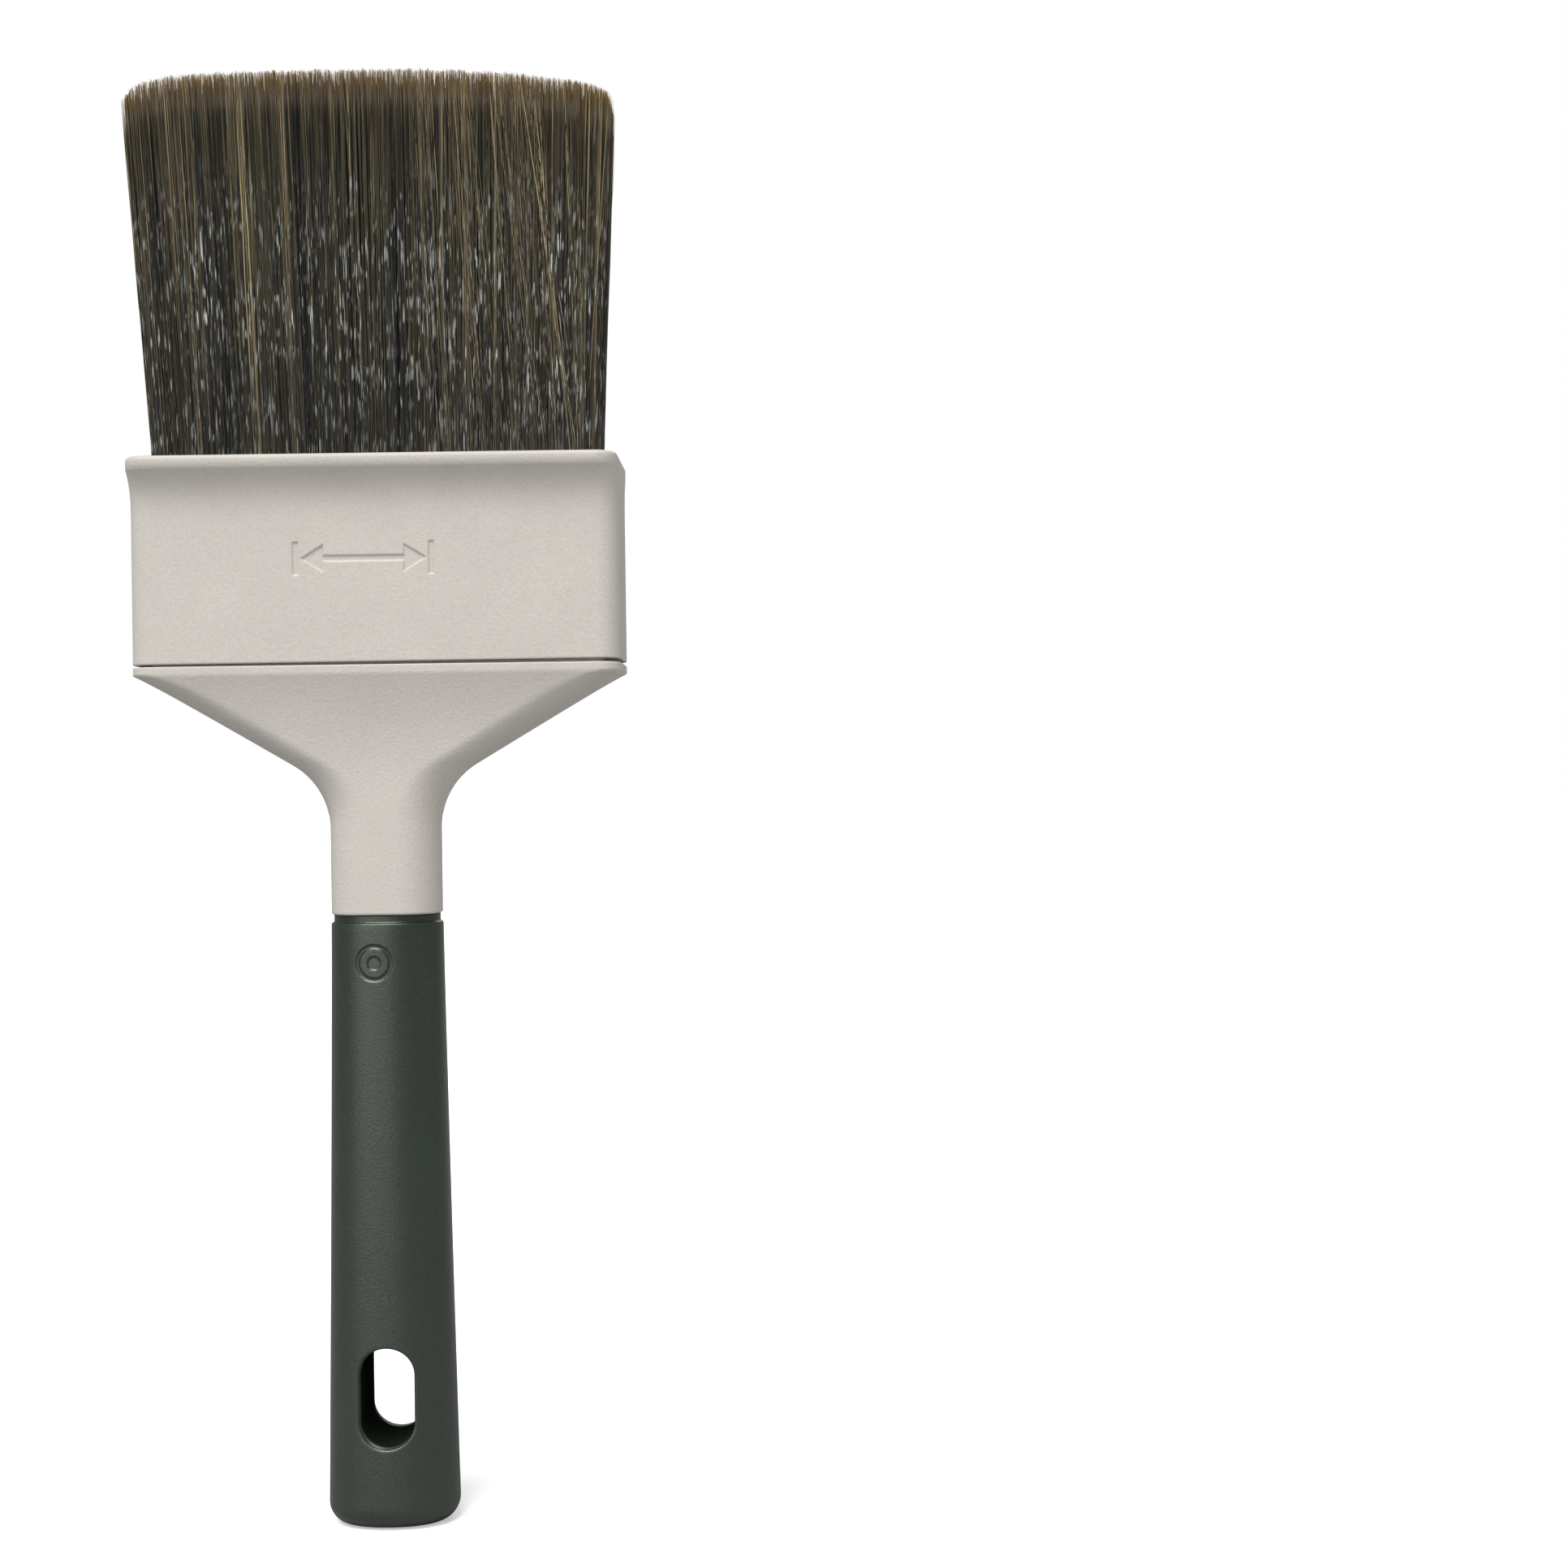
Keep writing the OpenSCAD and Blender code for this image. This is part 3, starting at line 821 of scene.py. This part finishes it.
def strand_kinds():
    """The filaments: filling ones inside, finer ones outside, and bunches that cross the front."""
    rng = np.random.default_rng(STRAND_SEED)
    inner = lay_strands(rng, INNER, *inner_places(rng, INNER[0]))
    outer = lay_strands(rng, OUTER, *outer_places(rng, OUTER[0]))
    crossing = lay_strands(rng, CROSSING, *crossing_places(rng, CROSSING[0]))
    clump_seed = rng.random(GLINT_SEEDS)
    for kind in (inner, outer, crossing):
        kind["colour"] = strand_colours(rng, kind["x"], kind["at_tip"])
        side = kind["x"] + rng.normal(0, GLINT_SPREAD, len(kind["x"]))
        clump = np.floor(side / GLINT_WIDTH) + GLINT_STEP * np.floor(kind["y"] / GLINT_DEPTH)
        kind["seed"] = clump_seed[clump.astype(int) % GLINT_CYCLE]
    pale = rng.random(CROSSING[0])
    crossing["colour"][pale < CROSSING_TAN] = TAN
    crossing["colour"][pale < CROSSING_GOLD] = GOLD
    crossing["colour"] *= rng.uniform(*CROSSING_BRIGHTNESS, CROSSING[0])[:, None]
    return inner, outer, crossing


def strand_faces(count, stations):
    """Face indices of a run of strands that all have the same number of stations."""
    offset = np.arange(count)[:, None, None] * stations * SIDES
    quads = ring_quads(stations, SIDES, False)[None] + offset
    low = np.arange(SIDES)[::-1]
    high = np.arange(SIDES) + (stations - 1) * SIDES
    ends = np.stack([low, high])[None] + offset
    return quads.reshape(-1, 4), ends.reshape(-1, 3)


def strand_map(first, count, stations, columns):
    """UVs that give each strand its own narrow column of a picture with four shelves of columns."""
    place = first + np.arange(count)
    left = (place % columns / columns)[:, None, None]
    shelf = (place // columns)[:, None, None]
    k = np.repeat(np.arange(stations - 1), SIDES)[:, None]
    u = left + np.broadcast_to([0, 1, 1, 0], (len(k), 4)) / columns
    v = (shelf + (k + [0, 0, 1, 1]) / (stations - 1) * SHELF_FILL) / SHELVES
    quads = np.stack(np.broadcast_arrays(u, v), -1).reshape(-1, 2)
    u = left + np.array([[0, 1, 0.5], [0, 1, 0.5]]) / columns
    v = (shelf + np.array([[0, 0, 1], [-1, -1, 0]]) * SHELF_CAP + [[0], [SHELF_FILL]]) / SHELVES
    ends = np.stack(np.broadcast_arrays(u, v), -1).reshape(-1, 2)
    return quads, ends


def add_values(obj, name, kind, values):
    """Gives each point of a mesh its own value or colour, which the materials read."""
    attribute = obj.data.attributes.new(name, kind, "POINT")
    key = "color" if kind == "FLOAT_COLOR" else "value"
    attribute.data.foreach_set(key, values.astype(np.float32).ravel())


def build_piece(name, kinds, picks):
    """One mesh of the picked strands, each its own closed prism, with its values and UVs."""
    columns = math.ceil(sum(len(p) for p in picks) / SHELVES)
    parts = {key: [] for key in ("points", "faces", "uv", "colour", "seed", "from_tip")}
    strands = total = 0
    for kind, pick in zip(kinds, picks):
        count, stations = len(pick), kind["points"].shape[1]
        per_strand = stations * SIDES
        parts["points"].append(kind["points"][pick].reshape(-1, 3))
        parts["faces"] += [f + total for f in strand_faces(count, stations)]
        parts["uv"] += strand_map(strands, count, stations, columns)
        parts["colour"].append(np.repeat(kind["colour"][pick], per_strand, axis=0))
        parts["seed"].append(np.repeat(kind["seed"][pick], per_strand))
        parts["from_tip"].append(kind["from_tip"][pick].ravel())
        strands += count
        total += count * per_strand
    obj = mesh_object(name, np.concatenate(parts["points"]), parts["faces"])
    add_values(obj, "strand_seed", "FLOAT", np.concatenate(parts["seed"]))
    add_values(obj, "from_tip", "FLOAT", np.concatenate(parts["from_tip"]))
    opaque = np.column_stack([np.concatenate(parts["colour"]), np.ones(total)])
    add_values(obj, "strand_colour", "FLOAT_COLOR", opaque)
    layer = obj.data.uv_layers.new(name="OFBake")
    layer.data.foreach_set("uv", np.concatenate(parts["uv"]).astype(np.float32).ravel())
    return obj


def build_filaments():
    """Each row in two halves, so that no piece is too heavy."""
    kinds = strand_kinds()
    pieces = []
    for row, row_name in enumerate(ROWS):
        for right, half_name in enumerate(("left", "right")):
            picks = []
            for kind in kinds:
                row_of = np.clip((kind["y"] / PACK_HALF_Y + 1) * len(ROWS) / 2, 0, len(ROWS) - 1)
                in_half = (kind["x"] >= 0) == bool(right)
                picks.append(np.flatnonzero((row_of.astype(int) == row) & in_half))
            pieces.append((row_name, build_piece(f"filaments_{row_name}_{half_name}", kinds, picks)))
    return pieces


# ---- Materials ----

# Base colours: the light and the dark of each material's mottling.
SHELL_COLOURS = ((0.565, 0.533, 0.487), (0.487, 0.459, 0.420))
GRIP_COLOURS = ((0.020, 0.029, 0.020), (0.008, 0.011, 0.008))
RESIN_COLOURS = ((0.50, 0.34, 0.13), (0.36, 0.22, 0.07))
PLUG_COLOURS = ((0.36, 0.28, 0.17), (0.27, 0.20, 0.12))

# Painted shade in the hang slot: its walls get this near-black colour and no shine, fading in between
# these two half depths.
SLOT_PAINTED_SHADE = (0.010, 0.013, 0.010)
SLOT_SHADE_FROM = 7.4 * MM
SLOT_SHADE_FULL = 6.2 * MM
GRIP_SHINE_TOP = 0.78
GRIP_SHINE_BUTT = 1.0
GRIP_SHINE_TINT = (0.90, 1.0, 0.88, 1)
SHELL_SHINE = 0.35
MOTTLE_SCALE = 90.0
MOTTLE_CUT = (0.3, 0.7)
GLOSS_SWING = 0.06

# Places along a filament, in millimetres from its tip: where each effect starts and ends.
GLINTS_START = (12.0, 30.0)
GLINTS_FADE = (46.0, 64.0)
TIP_WEAR = (8.0, 0.0)
DARK_TO_BRIGHT = (55.0, 5.0)
WEAR_POWER = 1.6
WEAR_LEAST = 0.45
# GLINT is a painted highlight: pale dashes mixed into the filaments' base colour.
GLINT = (0.50, 0.51, 0.48)
GLINT_CUT = (0.58, 0.68)
GLINT_PITCH = 0.23
GLINTS_LOW_DOWN = 0.55
SEED_SPREAD = 900.0
PATCH_CUT = (0.30, 0.54)
SHADE = (0.008, 0.008, 0.006)
SHADE_SCALE = 0.35
SHADE_CUT = (0.35, 0.65)
SHADE_SHARE = 0.5
SHADE_DEPTH = 0.02 * MM
FOOT_BRIGHTNESS = 0.62
TIP_BRIGHTNESS = 1.85

# Roughness and shine of a filament, fresh and at its worn end.
STRAND_ROUGHNESS = (0.34, 0.8)
STRAND_SHINE = (0.5, 0.15)


def new_material(name):
    """A new material, its node tree and its shader."""
    material = bpy.data.materials.new(name)
    material.use_nodes = True
    tree = material.node_tree
    return material, tree, tree.nodes["Principled BSDF"]


def node(tree, kind, **values):
    """A new node, with its own settings or its inputs' values by name."""
    made = tree.nodes.new(kind)
    for key, value in values.items():
        if hasattr(made, key):
            setattr(made, key, value)
        else:
            made.inputs[key.replace("_", " ")].default_value = value
    return made


def strand_value(tree, name, output="Fac"):
    """A value or colour that the filament meshes carry."""
    return node(tree, "ShaderNodeAttribute", attribute_name=name).outputs[output]


def object_place(tree):
    """The place of a point in the object's own coordinates."""
    return node(tree, "ShaderNodeTexCoord").outputs["Object"]


def noise(tree, source, scale, detail=2.0, roughness=0.5):
    """Smooth noise between 0 and 1, about 0.5 on average."""
    made = node(tree, "ShaderNodeTexNoise", Scale=scale, Detail=detail, Roughness=roughness)
    tree.links.new(source, made.inputs["Vector"])
    return made.outputs["Fac"]


def ramp(tree, source, low, high):
    """Stretches low..high of a value to 0..1."""
    made = node(tree, "ShaderNodeMapRange")
    made.inputs["From Min"].default_value = low
    made.inputs["From Max"].default_value = high
    tree.links.new(source, made.inputs["Value"])
    return made.outputs["Result"]


def maths(tree, operation, a, b=0.0):
    """One operation on two numbers or node values."""
    made = node(tree, "ShaderNodeMath", operation=operation)
    for socket, value in zip(made.inputs, (a, b)):
        if isinstance(value, (int, float)):
            socket.default_value = value
        else:
            tree.links.new(value, socket)
    return made.outputs[0]


def product(tree, *values):
    """Numbers and node values multiplied together."""
    made = values[0]
    for value in values[1:]:
        made = maths(tree, "MULTIPLY", made, value)
    return made


def mix_value(tree, share, a, b):
    """Number a where share is 0 and b where it is 1."""
    return maths(tree, "ADD", maths(tree, "MULTIPLY", share, b - a), a)


def mix(tree, share, a, b):
    """Colour a where share is 0 and b where it is 1."""
    made = node(tree, "ShaderNodeMix", data_type="RGBA")
    for socket, value in zip((made.inputs[0], made.inputs[6], made.inputs[7]), (share, a, b)):
        if isinstance(value, (int, float)):
            socket.default_value = value
        elif isinstance(value, tuple):
            socket.default_value = (*value, 1)
        else:
            tree.links.new(value, socket)
    return made.outputs[2]


def bump(tree, height, distance, strength=1.0):
    """A surface normal from a height."""
    made = node(tree, "ShaderNodeBump", Strength=strength, Distance=distance)
    tree.links.new(height, made.inputs["Height"])
    return made.outputs["Normal"]


def moulded_plastic(name, colours, roughness, grain_size, grain_depth, speckle):
    """Moulded plastic with a fine eroded texture, faint mottling and uneven gloss."""
    material, tree, shader = new_material(name)
    light, dark = colours
    place = object_place(tree)
    fine = noise(tree, place, 1 / grain_size, detail=3.0, roughness=0.6)
    mottle = noise(tree, place, MOTTLE_SCALE)
    tone = maths(tree, "ADD", product(tree, ramp(tree, fine, *MOTTLE_CUT), speckle),
                 product(tree, ramp(tree, mottle, *MOTTLE_CUT), 1 - speckle))
    tree.links.new(mix(tree, tone, dark, light), shader.inputs["Base Color"])
    gloss = mix_value(tree, fine, roughness - GLOSS_SWING, roughness + GLOSS_SWING)
    tree.links.new(gloss, shader.inputs["Roughness"])
    tree.links.new(bump(tree, fine, grain_depth), shader.inputs["Normal"])
    return material, tree, shader


def shell_material():
    """The light plastic of the ferrule and the handle."""
    material, _, shader = moulded_plastic(
        "shell_plastic", SHELL_COLOURS,
        roughness=0.55, grain_size=0.5 * MM, grain_depth=0.08 * MM, speckle=0.7)
    shader.inputs["Specular IOR Level"].default_value = SHELL_SHINE
    return material


def slot_shade_mask(tree, xyz):
    """1 on the walls of the hang slot, where shade is painted, and 0 elsewhere, from the place on the
    grip.
    """
    from_middle = maths(tree, "ABSOLUTE", xyz["Y"])
    beside = maths(tree, "ABSOLUTE", xyz["X"])
    above = maths(tree, "ABSOLUTE", maths(tree, "SUBTRACT", xyz["Z"], SLOT_CENTRE))
    return product(
        tree, ramp(tree, from_middle, SLOT_SHADE_FROM, SLOT_SHADE_FULL),
        maths(tree, "LESS_THAN", beside, SLOT_HALF_WIDTH + SLOT_RIM),
        maths(tree, "LESS_THAN", above, SLOT_HALF_LENGTH + SLOT_RIM))


def grip_material():
    """Soft-touch rubber, with painted shade that darkens the walls of the hang slot and takes away their
    shine.
    """
    material, tree, shader = moulded_plastic(
        "soft_touch", GRIP_COLOURS,
        roughness=0.33, grain_size=0.36 * MM, grain_depth=0.05 * MM, speckle=0.8)
    xyz = node(tree, "ShaderNodeSeparateXYZ")
    tree.links.new(object_place(tree), xyz.inputs[0])
    # Painted shade: the slot's walls are mixed to near-black and lose their shine.
    slot_shade = slot_shade_mask(tree, xyz.outputs)
    skin = shader.inputs["Base Color"].links[0].from_socket
    tree.links.new(mix(tree, slot_shade, skin, SLOT_PAINTED_SHADE), shader.inputs["Base Color"])
    shine = mix_value(
        tree, ramp(tree, xyz.outputs["Z"], GRIP_TOP, BUTT), GRIP_SHINE_TOP, GRIP_SHINE_BUTT)
    tree.links.new(
        product(tree, shine, mix_value(tree, slot_shade, 1.0, 0.0)), shader.inputs["Specular IOR Level"])
    gloss = shader.inputs["Roughness"].links[0].from_socket
    tree.links.new(maths(tree, "MAXIMUM", gloss, slot_shade), shader.inputs["Roughness"])
    shader.inputs["Specular Tint"].default_value = GRIP_SHINE_TINT
    return material


def strand_lane(tree, seed, from_tip):
    """A place for noise that runs along a filament and is its own for each clump of them."""
    lane = node(tree, "ShaderNodeCombineXYZ")
    tree.links.new(product(tree, seed, SEED_SPREAD), lane.inputs[0])
    tree.links.new(product(tree, from_tip, GLINT_PITCH), lane.inputs[2])
    return lane.outputs[0]


def glint_mask(tree, lane, from_tip):
    """Short painted glints in patches, none near the tips and fewer near the ferrule."""
    short = ramp(tree, noise(tree, lane, 1.0, detail=1.0), *GLINT_CUT)
    patchy = ramp(tree, noise(tree, object_place(tree), MOTTLE_SCALE), *PATCH_CUT)
    fade = mix_value(tree, ramp(tree, from_tip, *GLINTS_FADE), 1.0, GLINTS_LOW_DOWN)
    return product(tree, short, product(tree, ramp(tree, from_tip, *GLINTS_START), fade), patchy)


def wear_mask(tree, seed, from_tip):
    """1 at the worn end of a filament and 0 further down, more on some filaments than on others."""
    near_tip = maths(tree, "POWER", ramp(tree, from_tip, *TIP_WEAR), WEAR_POWER)
    return product(tree, near_tip, mix_value(tree, seed, WEAR_LEAST, 1.0))


def filament_material():
    """Each strand has its own colour, pale worn tips, and short pale glints low down, painted into the
    colour as highlights.
    """
    material, tree, shader = new_material("filament")
    own = strand_value(tree, "strand_colour", "Color")
    seed = strand_value(tree, "strand_seed")
    from_tip = strand_value(tree, "from_tip")
    lane = strand_lane(tree, seed, from_tip)
    worn = wear_mask(tree, seed, from_tip)
    shade = ramp(tree, noise(tree, lane, SHADE_SCALE), *SHADE_CUT)
    bright = node(tree, "ShaderNodeHueSaturation")
    near_tip = ramp(tree, from_tip, *DARK_TO_BRIGHT)
    tree.links.new(mix_value(tree, near_tip, FOOT_BRIGHTNESS, TIP_BRIGHTNESS), bright.inputs["Value"])
    tree.links.new(mix(tree, product(tree, shade, SHADE_SHARE), own, SHADE), bright.inputs["Color"])
    colour = mix(tree, worn, bright.outputs["Color"], TIP_TAN)
    colour = mix(tree, glint_mask(tree, lane, from_tip), colour, GLINT)
    tree.links.new(colour, shader.inputs["Base Color"])
    tree.links.new(mix_value(tree, worn, *STRAND_ROUGHNESS), shader.inputs["Roughness"])
    tree.links.new(mix_value(tree, worn, *STRAND_SHINE), shader.inputs["Specular IOR Level"])
    tree.links.new(bump(tree, shade, SHADE_DEPTH), shader.inputs["Normal"])
    return material


def cloudy_material(name, colours, roughness, scale):
    """A plain material with cloudy colour, for the pieces hidden inside the ferrule."""
    material, tree, shader = new_material(name)
    light, dark = colours
    cloud = ramp(tree, noise(tree, object_place(tree), scale, detail=4.0), *MOTTLE_CUT)
    tree.links.new(mix(tree, cloud, dark, light), shader.inputs["Base Color"])
    tree.links.new(mix_value(tree, cloud, roughness, roughness + 0.1), shader.inputs["Roughness"])
    return material


def assign(obj, material):
    """Makes this the object's only material."""
    obj.data.materials.clear()
    obj.data.materials.append(material)


# ---- Stage, light and camera ----

FLOOR_REACHES = (0.1, 0.3, 0.8, 2.0, 5.0, 12.0)
FLOOR_SIDES = 96
WHITE = (1, 1, 1)
BLACK = (0, 0, 0)
PAPER = ((0.90, 0.90, 0.90), (0.94, 0.94, 0.94))
PAPER_GLOW = 0.4
PAPER_ROUGHNESS = 0.9
PAPER_SHINE = 0.1
BOUNCE = (0.30, 0.30, 0.30)

# Each light's name, kind, size (a sun's is an angle), power, place and whether reflections show it.
LIGHTS = [
    ("key", "SUN", math.radians(40), 3.44, (-0.42, -1.0, 1.9), True),
    ("front_left", "AREA", 1.15, 7.3, (-0.52, -1.2, 0.06), True),
    ("right", "AREA", 0.9, 7.8, (1.3, -0.5, 0.05), False),
    ("back", "AREA", 0.9, 3.0, (0.3, 1.3, 0.9), True),
]
AIM = Vector((0, 0, 0.14))

LENS = 51.7
SENSOR = 36.0
CAMERA_PLACE = (0.0726, -0.41075, 0.1329)
CAMERA_ROLL = math.radians(0.78)


def seen_by_camera(tree, seen, unseen):
    """A colour that the camera sees, and another that lights the scene by bounce."""
    ray = node(tree, "ShaderNodeLightPath").outputs["Is Camera Ray"]
    return mix(tree, ray, unseen, seen)


def paper_material():
    """Pale paper that looks nearly white to the camera and bounces less light."""
    material, tree, shader = new_material("studio_paper")
    paper = mix(tree, noise(tree, object_place(tree), 3.0), *PAPER)
    tree.links.new(seen_by_camera(tree, paper, BOUNCE), shader.inputs["Base Color"])
    tree.links.new(seen_by_camera(tree, WHITE, BLACK), shader.inputs["Emission Color"])
    shader.inputs["Emission Strength"].default_value = PAPER_GLOW
    shader.inputs["Roughness"].default_value = PAPER_ROUGHNESS
    shader.inputs["Specular IOR Level"].default_value = PAPER_SHINE
    return material


def build_stage():
    """A wide pale floor that fades into the pale surroundings from every angle."""
    turns = np.linspace(0, 2 * math.pi, FLOOR_SIDES + 1)[:-1]
    circle = np.column_stack([np.cos(turns), np.sin(turns), np.zeros(FLOOR_SIDES)])
    points = np.concatenate([circle * reach for reach in FLOOR_REACHES] + [[[0, 0, 0]]])
    quads = ring_quads(len(FLOOR_REACHES), FLOOR_SIDES, False)[:, ::-1]
    centre = fan(len(points) - 1, np.arange(FLOOR_SIDES), False)
    floor = mesh_object("studio_floor", points, [quads, centre])
    assign(floor, paper_material())


def add_light(name, kind, size, power, place, glossy):
    """A light aimed at the middle of the brush."""
    data = bpy.data.lights.new(name, kind)
    data.energy = power
    if kind == "SUN":
        data.angle = size
    else:
        data.shape = "DISK"
        data.size = size
    lamp = bpy.data.objects.new(name, data)
    lamp.visible_glossy = glossy
    lamp.location = place
    lamp.rotation_euler = (AIM - Vector(place)).to_track_quat("-Z", "Y").to_euler()
    bpy.context.scene.collection.objects.link(lamp)


def build_world():
    """Surroundings that are white to the camera and dimmer as a light."""
    world = bpy.data.worlds.new("studio")
    world.use_nodes = True
    tree = world.node_tree
    tree.links.new(seen_by_camera(tree, WHITE, BOUNCE), tree.nodes["Background"].inputs["Color"])
    bpy.context.scene.world = world


def build_camera():
    """The camera in front of the brush, level but for a slight roll."""
    data = bpy.data.cameras.new("camera")
    data.lens = LENS
    data.sensor_width = SENSOR
    data.clip_start = 0.01
    camera = bpy.data.objects.new("camera", data)
    bpy.context.scene.collection.objects.link(camera)
    turn = Matrix.Rotation(math.pi / 2, 4, "X") @ Matrix.Rotation(-CAMERA_ROLL, 4, "Z")
    camera.matrix_world = Matrix.Translation(CAMERA_PLACE) @ turn
    bpy.context.scene.camera = camera


# ---- Put it together ----

def dress(piece, material, slot, *nodes):
    """Gives a piece its material and hides the CAD nodes that it stands for. Its slot is not used."""
    assign(piece, material)
    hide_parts(*nodes)


shell = shell_material()
for piece, material, slot, replaced in (
        (build_ferrule(), shell, "shell", "ferrule"),
        (build_handle(), shell, "shell", "handle_core"),
        (build_grip(), grip_material(), "grip", "grip")):
    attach(piece, "brush_body")
    dress(piece, material, slot, replaced)

filament = filament_material()
for row_name, strands in build_filaments():
    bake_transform(strands)
    dress(strands, filament, "filament", f"filaments_{row_name}", f"filament_roots_{row_name}")

resin = cloudy_material("resin", RESIN_COLOURS, roughness=0.12, scale=150.0)
assign(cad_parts["epoxy_setting"], resin)
plug = cloudy_material("plug", PLUG_COLOURS, roughness=0.55, scale=400.0)
for side in ("front", "rear"):
    assign(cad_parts[f"spacer_plug_{side}"], plug)

build_stage()
for light in LIGHTS:
    add_light(*light)
build_world()
build_camera()
bpy.context.scene.view_settings.view_transform = "Standard"
